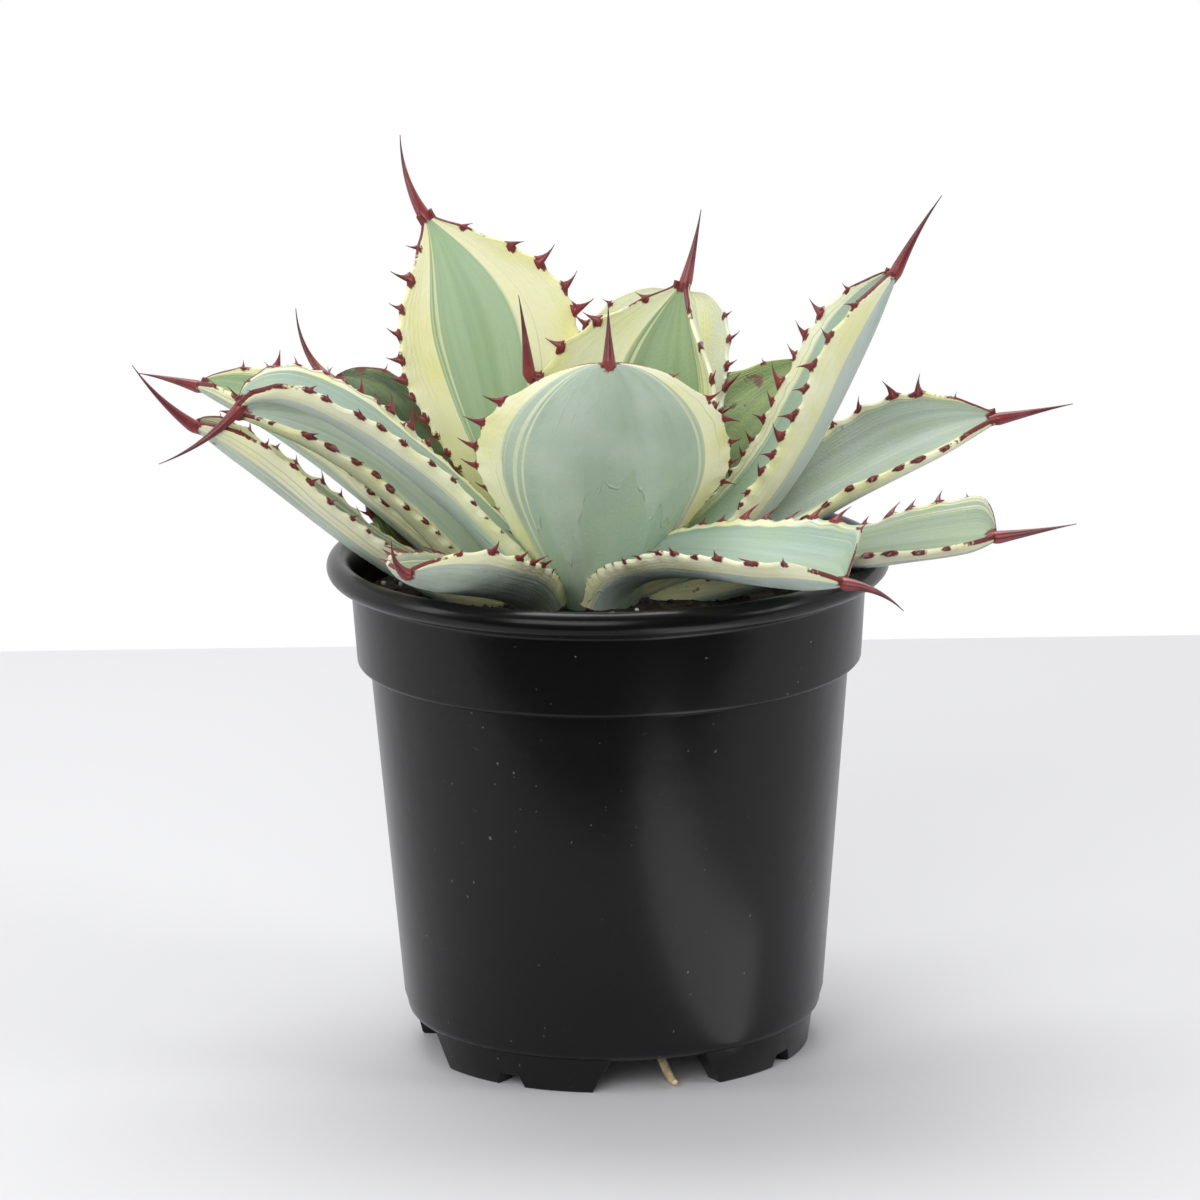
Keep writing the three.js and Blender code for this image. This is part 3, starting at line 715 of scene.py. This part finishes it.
def blade(name, leaf, materials, number):
    """One leaf: its curved, channelled blade with waved margins, its teeth and its spine."""
    rng = random.Random(number)
    s = np.linspace(0, 1, ROWS)
    line, way, left, up = centreline(leaf, s)
    half = np.maximum(leaf["width"] / 2 * outline(leaf, s), SPINE_RADIUS)
    arc = np.radians(leaf["fold"]) * (FOLD_AT_BASE + (FOLD_AT_TIP - FOLD_AT_BASE) * s)
    length = np.linalg.norm(np.diff(line, axis=0), axis=1).sum()
    teeth = {}
    knobs = {}
    for side in (-1, 1):
        places = tooth_places(length, rng)
        sizes = tooth_sizes(leaf, places, rng)
        reach = SCALLOP_REACH * np.gradient(places)
        swell = np.exp(-((s[:, None] - places) / reach) ** 2) * sizes / TOOTH_LENGTH
        knobs[side] = swell.sum(1) * leaf["toothed"]
        teeth[side] = list(zip(places, sizes))

    # Columns crowd towards the margins, where the blade curves most
    v = np.sin(np.linspace(-1, 1, COLUMNS) * np.pi / 2)
    angle = arc[:, None] * v
    radius = (half / arc)[:, None, None]
    sin, cos = np.sin(angle)[..., None], np.cos(angle)[..., None]
    normal = up[:, None] * cos - left[:, None] * sin
    face = line[:, None] + left[:, None] * radius * sin + up[:, None] * radius * (1 - cos)
    outward = (left[:, None] * cos + up[:, None] * sin) * np.sign(v)[None, :, None]
    knob = np.where(v < 0, knobs[-1][:, None], knobs[1][:, None])
    inside = np.sin(np.pi * np.clip(s, 0, 1)) ** 0.5
    rim = np.clip((np.abs(v) - MARGIN_START) / (1 - MARGIN_START), 0, 1) ** 2
    flare = math.tan(math.radians(leaf["flare"]))
    face -= normal * (flare * FLARE_WIDTH * half[:, None] * inside[:, None] * rim)[..., None]
    swollen = (knob * SCALLOP_SWELL - SCALLOP_SHRINK) * SCALLOP
    face += outward * (swollen * inside[:, None] * rim)[..., None]
    phase = rng.uniform(0, math.tau)
    wave = np.sin(s * length / LONG_WAVE + phase)[:, None] * np.where(v < 0, 1, -0.8)
    wave = wave + 0.5 * np.sin(s * length / SHORT_WAVE + 2 * phase)[:, None]
    face += normal * (MARGIN_WAVE * inside[:, None] * wave * np.abs(v) ** 4)[..., None]
    middle = min(1, leaf["width"] / 30) * (BASE_THICKNESS + (TIP_THICKNESS - BASE_THICKNESS)
                                           * s ** 0.7)
    middle *= 1 - THIN_TIP_LOSS * np.clip((s - THIN_TIP_FROM) / (1 - THIN_TIP_FROM), 0, 1) ** 2
    thick = EDGE_THICKNESS + (middle - EDGE_THICKNESS)[:, None] * (1 - v ** 2) ** 0.8
    under = face - normal * thick[..., None]
    face, under = rest_on_rim(face), rest_on_rim(under)

    # Rings: the upper face from right to left, a round edge, and the lower face back
    cap = EDGE_THICKNESS * 0.45
    ring = np.concatenate([
        face,
        ((face + under) / 2 + outward * cap)[:, -1:],
        under[:, ::-1],
        ((face + under) / 2 + outward * cap)[:, :1],
    ], axis=1)
    sides = ring.shape[1]
    across = np.concatenate([v, [1], v[::-1], [-1]])
    outer = np.concatenate([np.zeros(COLUMNS), [0.5], np.ones(COLUMNS), [0.5]])
    horn = tip_horn(ring, line[-1], across, leaf)
    skin = Skin()
    if leaf["toothed"]:
        for side, places in teeth.items():
            column = 0 if side < 0 else -1
            margin = (face + under)[:, column] / 2
            for share, size in places:
                i = int(share * (ROWS - 1))
                horn = np.maximum(horn, tooth_horn(ring, margin[i], way[i], size))
                sway = 0.25 * rng.uniform(-1, 1) - flare
                out = unit(outward[i, column] + sway * normal[i, column])
                lean = rng.choice((0.3, 0.5, 0.6, -0.3))
                add_tooth(skin, margin[i] - out * 0.2, out, way[i], normal[i, column], size, lean)

    values = [
        (across[k], s[i], outer[k], horn[i, k]) for i in range(ROWS) for k in range(sides)
    ]
    faces = tube_faces(ROWS, sides, closed=False)
    faces += strip_caps(ROWS, COLUMNS)
    skin.add(ring.reshape(-1, 3), faces, 0, values)

    add_spine(skin, leaf, line, way, up)
    return skin.object("agave_" + name, materials, ("across", "along", "outer", "horn"))


def tip_horn(points, tip, across, leaf):
    """How horny the skin is near the end spine, 1 at its root; it runs on down the margins."""
    away = np.linalg.norm(points - tip, axis=-1)
    sheath = 1 - away / SHEATH_LENGTH
    edge = np.clip((np.abs(across) - 0.9) / 0.1, 0, 1)
    run = (1 - away / (HORNY_MARGIN_LENGTH + leaf["spine"])) * edge
    return np.maximum(sheath, run)


def tooth_horn(points, root, way, size):
    """How horny the skin is round a tooth, in a patch drawn out along the margin."""
    apart = points - root
    along = apart @ way
    beside = np.sqrt(np.maximum((apart ** 2).sum(-1) - along ** 2, 0))
    return 1 - np.hypot(along / 2, beside) / (0.5 * size + 0.35)


def strip_caps(rows, columns):
    """Quads that close the two ends of a blade, between its upper and its lower face."""
    sides = 2 * columns + 2
    faces = []
    for start, flip in ((0, False), ((rows - 1) * sides, True)):
        left_edge, right_edge = start + columns, start + sides - 1
        for k in range(columns - 1):
            a, b = start + k, start + k + 1
            c, d = start + 2 * columns - k - 1, start + 2 * columns - k
            quad = [a, b, c, d]
            faces.append(quad[::-1] if flip else quad)
        first = [right_edge, start, start + 2 * columns]
        last = [start + columns - 1, left_edge, start + columns + 1]
        faces.append(first[::-1] if flip else first)
        faces.append(last[::-1] if flip else last)
    return faces


def add_spine(skin, leaf, line, way, up):
    """The end spine: it grows out of the blade's tip and bends towards the leaf's aim."""
    aim = direction(*leaf["aim"])
    steps = SPINE_STEPS
    at = line[-1].copy()
    points = []
    for k in range(1, steps + 1):
        at = at + unit(way[-1] + (aim - way[-1]) * k / steps) * leaf["spine"] / steps
        points.append(at.copy())
    root = [line[i] - SPINE_DROP * up[i] for i in range(int(ROWS * SPINE_ROOT), ROWS)]
    points = [p - SPINE_DROP * up[-1] * (1 - k / steps) for k, p in enumerate(points)]
    radii = list(np.linspace(SPINE_ROOT_RADIUS, SPINE_RADIUS, len(root)))
    radii += [SPINE_RADIUS * (1 - k / steps) ** 1.4 + 0.12 for k in range(1, steps + 1)]
    tube(skin, root + points, radii, 12, 1, 0.9, 2.0)


# Pot, soil and what lies in it

def collar_radius(z):
    """The outer radius of the pot's collar at a height."""
    share = (z - COLLAR_BOTTOM) / (LIP_UNDERSIDE - COLLAR_BOTTOM)
    return COLLAR_BOTTOM_RADIUS + (COLLAR_TOP_RADIUS - COLLAR_BOTTOM_RADIUS) * share


def arc_points(centre, radii, start, end, steps):
    """Points of an ellipse's arc in the profile's plane, angles in degrees."""
    points = []
    for k in range(steps + 1):
        angle = math.radians(start + (end - start) * k / steps)
        points.append((centre[0] + radii[0] * math.cos(angle),
                       centre[1] + radii[1] * math.sin(angle)))
    return points


def pot_profile():
    """The pot's section without its foot ring, round the wall from the outside to the inside."""
    lip_centre = LIP_RADIUS - LIP_ROLL
    outside = [
        (0.01, FOOT_HEIGHT),
        (FOOT_RADIUS - 1.5, FOOT_HEIGHT),
        *arc_points((FOOT_RADIUS - 1.5, FOOT_HEIGHT + 4), (3.6, 4), -80, 0, 5),
        (BODY_FOOT_RADIUS, BODY_FOOT),
        (BODY_TOP_RADIUS, COLLAR_BOTTOM - 0.6),
        (BODY_TOP_RADIUS + 0.6, COLLAR_BOTTOM),
        (COLLAR_BOTTOM_RADIUS - 1.6, COLLAR_BOTTOM + 0.5),
        *arc_points((COLLAR_BOTTOM_RADIUS - 1.2, COLLAR_BOTTOM + 1.8), (1.2, 1.3), -60, 0, 3),
        (COLLAR_TOP_RADIUS - 0.1, LIP_UNDERSIDE - 2.4),
        (COLLAR_TOP_RADIUS, LIP_UNDERSIDE - 0.4),
        *arc_points((COLLAR_TOP_RADIUS + 2.4, LIP_UNDERSIDE - 0.4), (2.4, 1.6), 170, 95, 3),
        (LIP_RADIUS - 2.6, LIP_UNDERSIDE + 2),
        *arc_points((lip_centre, LIP_WIDEST - 0.6), (LIP_ROLL, POT_HEIGHT - LIP_WIDEST + 0.6),
                    -60, 100, 12),
    ]
    inside = [
        (LIP_RADIUS - LIP_ROLL - 2, POT_HEIGHT - 0.8),
        (LIP_RADIUS - LIP_ROLL - 3.4, POT_HEIGHT - 3),
        (collar_radius(LIP_UNDERSIDE) - WALL, LIP_UNDERSIDE),
        (collar_radius(COLLAR_BOTTOM + 3) - WALL, COLLAR_BOTTOM + 3),
        (BODY_TOP_RADIUS - WALL, COLLAR_BOTTOM),
        (BODY_FOOT_RADIUS - WALL, BODY_FOOT),
        (BODY_FOOT_RADIUS - 4 - WALL, FOOT_HEIGHT + FLOOR),
        (0.01, FOOT_HEIGHT + FLOOR),
    ]
    return outside + inside


def foot_line():
    """The foot ring's underside between two gaps: bearings from the first gap, and heights."""
    middle = FOOT_PERIOD / 2
    sole = middle - GAP_BOTTOM - NOTCH_BOTTOM
    steps = 8
    half = [(0, NOTCH_HEIGHT), (NOTCH_TOP, NOTCH_HEIGHT), (NOTCH_BOTTOM, 0)]
    half += [(NOTCH_BOTTOM + sole * k / steps, 0) for k in range(1, steps + 1)]
    half.append((middle - GAP_TOP, FOOT_HEIGHT))
    return [(middle - b, z) for b, z in reversed(half)] + [(middle + b, z) for b, z in half[1:]]


def add_foot(skin, gap):
    """The foot ring from one gap to the next, its top sunk into the pot's floor."""
    inner = FOOT_RADIUS - FOOT_RING - FOOT_TAPER
    points = []
    line = foot_line()
    for bearing, low in line:
        outer = FOOT_RADIUS - FOOT_TAPER * (1 - low / FOOT_HEIGHT)
        section = [
            (inner, low), (outer - 0.6, low), (outer, low + 0.6),
            (FOOT_RADIUS + 0.1, FOOT_HEIGHT + 1), (inner, FOOT_HEIGHT + 1),
        ]
        for radius, z in section:
            points.append(radius * direction(gap + bearing, 0) + np.array([0, 0, z]))
    skin.add(points, [face[::-1] for face in tube_faces(len(line), len(section))])


def cut_drains(pot):
    """Cuts the four drain holes through the floor."""
    for turn in range(0, 360, FOOT_PERIOD):
        x, y, _ = DRAIN_CIRCLE * direction(FIRST_DRAIN_BEARING + turn, 0)
        bpy.ops.mesh.primitive_cylinder_add(
            radius=DRAIN_RADIUS * MM, depth=6 * FLOOR * MM, vertices=32,
            location=place((x, y, FOOT_HEIGHT + FLOOR / 2)))
        cutter = bpy.context.object
        cut = pot.modifiers.new("drain", "BOOLEAN")
        cut.operation = "DIFFERENCE"
        cut.object = cutter
        apply_modifiers(pot)
        bpy.data.objects.remove(cutter)


def apply_modifiers(obj):
    """Keeps the mesh as its modifiers leave it, and takes them off."""
    graph = bpy.context.evaluated_depsgraph_get()
    mesh = bpy.data.meshes.new_from_object(obj.evaluated_get(graph))
    obj.modifiers.clear()
    obj.data = mesh


def soil_height(x, y):
    """The soil's lumpy surface: a low mound with clods on it."""
    out = math.hypot(x, y) / SOIL_RADIUS
    clods = noise.fractal(Vector((x, y, 3)) * CLOD_SCALE, 0.9, 2.1, 5)
    return SOIL_LEVEL + SOIL_MOUND * (1 - out * out) + SOIL_LIFT + CLOD_HEIGHT * clods


def soil_surface():
    """The soil's top, with a skirt that goes down inside the pot's wall."""
    rings, sides = 60, 180
    skin = Skin()
    points = []
    for i in range(rings + 1):
        radius = SOIL_RADIUS * i / rings
        for k in range(sides):
            angle = math.tau * k / sides
            x, y = radius * math.cos(angle), radius * math.sin(angle)
            points.append((x, y, soil_height(x, y)))
    points += [(x * 0.99, y * 0.99, SOIL_LEVEL - SOIL_SKIRT) for x, y, _ in points[-sides:]]
    faces = [face[::-1] for face in tube_faces(rings + 2, sides, closed=False)]
    skin.add(points, faces)
    return skin


def strewn(rng, count, from_edge):
    """Places spread evenly over the soil, each drawn when it is asked for."""
    for _ in range(count):
        radius = (SOIL_RADIUS - from_edge) * math.sqrt(rng.random())
        angle = rng.uniform(0, math.tau)
        yield radius * math.cos(angle), radius * math.sin(angle)


def crumbs():
    """Small clods and bits of bark strewn over the soil."""
    rng = random.Random(11)
    skin = Skin()
    for x, y in strewn(rng, CRUMBS, 2):
        size = rng.choice((0.9, 1.2, 1.6, 2.2, 3.2))
        lump(skin, (x, y, soil_height(x, y) + size * 0.15), size, rng.uniform(0.5, 0.9), rng)
    return skin


def grain(x, y, size, number):
    """One of the perlite grains that are pieces of their own."""
    skin = Skin()
    centre = (x, y, SOIL_LEVEL + SOIL_MOUND / 2 + size / 4)
    lump(skin, centre, size, 0.8, random.Random(number), roughness=0.28, level=3)
    return skin


def small_grains():
    """Perlite too fine to be pieces of its own."""
    rng = random.Random(5)
    skin = Skin()
    for x, y in strewn(rng, SMALL_GRAINS, 3):
        size = rng.uniform(1.0, 2.4)
        centre = (x, y, soil_height(x, y) + size * 0.2)
        lump(skin, centre, size, 0.8, rng, roughness=0.3, level=2)
    return skin


def bent_line(points, steps):
    """A smooth line through a few points."""
    points = np.array(points, float)
    places = np.linspace(0, len(points) - 1, steps)
    line = []
    for u in places:
        i = min(int(u), len(points) - 2)
        t = u - i
        a, b, c, d = (points[min(max(i + k, 0), len(points) - 1)] for k in (-1, 0, 1, 2))
        line.append(0.5 * (2 * b + (c - a) * t + (2 * a - 5 * b + 4 * c - d) * t ** 2
                           + (3 * b - a - 3 * c + d) * t ** 3))
    return line


# The scene: what is loaded, built, lit and looked at

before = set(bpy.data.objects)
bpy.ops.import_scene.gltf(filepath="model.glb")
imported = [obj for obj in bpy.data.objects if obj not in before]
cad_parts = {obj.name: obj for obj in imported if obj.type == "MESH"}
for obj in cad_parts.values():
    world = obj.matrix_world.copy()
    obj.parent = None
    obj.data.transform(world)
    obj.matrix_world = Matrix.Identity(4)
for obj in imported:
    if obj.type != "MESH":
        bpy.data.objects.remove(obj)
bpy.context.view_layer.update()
pot_low, pot_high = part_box("pot")
AXIS = Vector(((pot_low[0] + pot_high[0]) / 2, (pot_low[1] + pot_high[1]) / 2, 0))


def place(point):
    """A point in millimetres from the pot's axis, as metres in the frame."""
    return (AXIS.x + point[0] * MM, AXIS.y + point[1] * MM, point[2] * MM)


def settle(obj, slot, *nodes):
    """Puts a finished piece on the plant's one body, for the nodes that it stands for."""
    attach(obj, "root")
    if nodes:
        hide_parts(*nodes)


BALLS = {level: ball(level) for level in (1, 2, 3)}


def build_pot():
    plastic = plastic_material()
    skin = Skin()
    lathe(skin, pot_profile(), POT_SIDES)
    pot = skin.object("pot_shell", [plastic])
    cut_drains(pot)
    pot.data.set_sharp_from_angle(angle=math.radians(POT_SHARP_ANGLE))
    settle(pot, "pot_plastic", "pot")
    feet = Skin()
    for turn in range(0, 360, FOOT_PERIOD):
        add_foot(feet, FIRST_GAP_BEARING + turn)
    ring = feet.object("pot_feet", [plastic])
    ring.data.set_sharp_from_angle(angle=math.radians(POT_SHARP_ANGLE))
    settle(ring, "pot_plastic")


def build_soil():
    peat = rough_material("peat", "17100c", "3a2c22", 240, 0.0012)
    white = rough_material("perlite", "d8d3c8", "f2efe8", 500, 0.0004)
    settle(soil_surface().object("soil_top", [peat]), "potting_mix", "soil")
    settle(crumbs().object("soil_crumbs", [peat]), "potting_mix")
    settle(small_grains().object("perlite_small", [white]), "perlite")
    for i, (x, y, size) in enumerate(GRAINS):
        name = f"perlite_{i + 1}"
        settle(grain(x, y, size, i).object(f"grain_{i + 1}", [white]), "perlite", name)


def build_root_and_stem():
    tan = rough_material("root_skin", "b79c6c", "dccca4", 300, 0.0005)
    skin = Skin()
    count = 30
    radii = [ROOT_RADIUS * (1 - ROOT_TAPER * (i / (count - 1)) ** 3) for i in range(count)]
    tube(skin, bent_line(ROOT_LINE, count), radii, 12)
    settle(skin.object("root_tip", [tan]), "root_tissue", "root")
    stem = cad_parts["stem"]
    stem.data.materials.clear()
    stem.data.materials.append(rough_material("stem_skin", "8f9a66", "b4ba8c", 200, 0.0004))


def build_leaves():
    horn = horn_material()
    for number, (name, own) in enumerate(LEAVES.items()):
        leaf = {**LEAF_DEFAULTS, **own}
        skin = blade_material("blade_" + name, LOOKS[leaf["look"]], leaf["bands"], number * 1.7)
        obj = blade(name, leaf, [skin, horn], number)
        settle(obj, "old_leaf" if name in OLD_LEAVES else "leaf", "leaf_" + name)


def build_stage():
    half = TABLE_HALF_WIDTH
    front, back = AXIS.y - TABLE_FRONT_EDGE, AXIS.y + TABLE_BACK_EDGE
    mesh = bpy.data.meshes.new("table")
    corners = [(-half, front, 0), (half, front, 0), (half, back, 0), (-half, back, 0)]
    mesh.from_pydata(corners, [], [[0, 1, 2, 3]])
    mesh.materials.append(plain_material("pale_table", "dddde0", 0.7))
    table = bpy.data.objects.new("table", mesh)
    bpy.context.collection.objects.link(table)


def add_light(name, spot, target, size, power, gloss_only=False):
    lamp = bpy.data.lights.new(name, "AREA")
    lamp.shape = "RECTANGLE"
    lamp.size, lamp.size_y = size
    lamp.energy = power
    obj = bpy.data.objects.new(name, lamp)
    obj.location = spot
    obj.rotation_euler = (Vector(target) - Vector(spot)).to_track_quat("-Z", "Y").to_euler()
    obj.visible_diffuse = not gloss_only
    bpy.context.collection.objects.link(obj)


def build_room():
    """A room plain white to the camera, dim to what it lights, and dark in front in gloss."""
    world = bpy.data.worlds.new("white_room")
    bpy.context.scene.world = world
    world.use_nodes = True
    tree = world.node_tree
    backdrop = tree.nodes["Background"]
    backdrop.inputs["Color"].default_value = (1, 1, 1, 1)
    ray = tree.nodes.new("ShaderNodeLightPath")
    facing = tree.nodes.new("ShaderNodeSeparateXYZ")
    tree.links.new(tree.nodes.new("ShaderNodeTexCoord").outputs["Generated"], facing.inputs[0])
    gloss = tree.nodes.new("ShaderNodeMapRange")
    gloss.inputs["From Min"].default_value = DARK_BELOW
    gloss.inputs["From Max"].default_value = WHITE_ABOVE
    gloss.inputs["To Min"].default_value = DARK_SIDE
    tree.links.new(facing.outputs["Y"], gloss.inputs["Value"])
    strength = gloss.outputs["Result"]
    for kind, value in (("Is Diffuse Ray", ROOM_LIGHT), ("Is Camera Ray", 1.0)):
        choice = tree.nodes.new("ShaderNodeMix")
        tree.links.new(ray.outputs[kind], choice.inputs[0])
        tree.links.new(strength, choice.inputs[2])
        choice.inputs[3].default_value = value
        strength = choice.outputs[0]
    tree.links.new(strength, backdrop.inputs["Strength"])
    bpy.context.scene.view_settings.view_transform = "Standard"


def build_light():
    for name, (spot, size, power) in LIGHTS.items():
        add_light(name, spot, LIGHT_TARGET, size, power)
    low = AXIS + Vector(GLEAM_PLACE)
    above = low + Vector((0, 0, 1))
    add_light("low_gleam", low, above, GLEAM_SIZE, GLEAM_POWER, gloss_only=True)


def build_camera():
    lens = bpy.data.cameras.new("photo_camera")
    lens.lens = CAMERA_LENS
    lens.sensor_width = SENSOR_WIDTH
    lens.clip_start, lens.clip_end = 0.05, 60
    pitch, yaw, roll = (math.radians(v) for v in (CAMERA_PITCH, CAMERA_YAW, CAMERA_ROLL))
    ahead = Vector((math.sin(yaw) * math.cos(pitch), math.cos(yaw) * math.cos(pitch),
                    -math.sin(pitch)))
    level = Vector((math.cos(yaw), -math.sin(yaw), 0))
    above = level.cross(ahead)
    right = level * math.cos(roll) + above * math.sin(roll)
    top = above * math.cos(roll) - level * math.sin(roll)
    camera = bpy.data.objects.new("photo_camera", lens)
    turn = Matrix((right, top, -ahead)).transposed().to_4x4()
    camera.matrix_world = Matrix.Translation(AXIS + Vector(CAMERA_PLACE)) @ turn
    bpy.context.collection.objects.link(camera)
    bpy.context.scene.camera = camera


build_pot()
build_soil()
build_root_and_stem()
build_leaves()
build_stage()
build_room()
build_light()
build_camera()
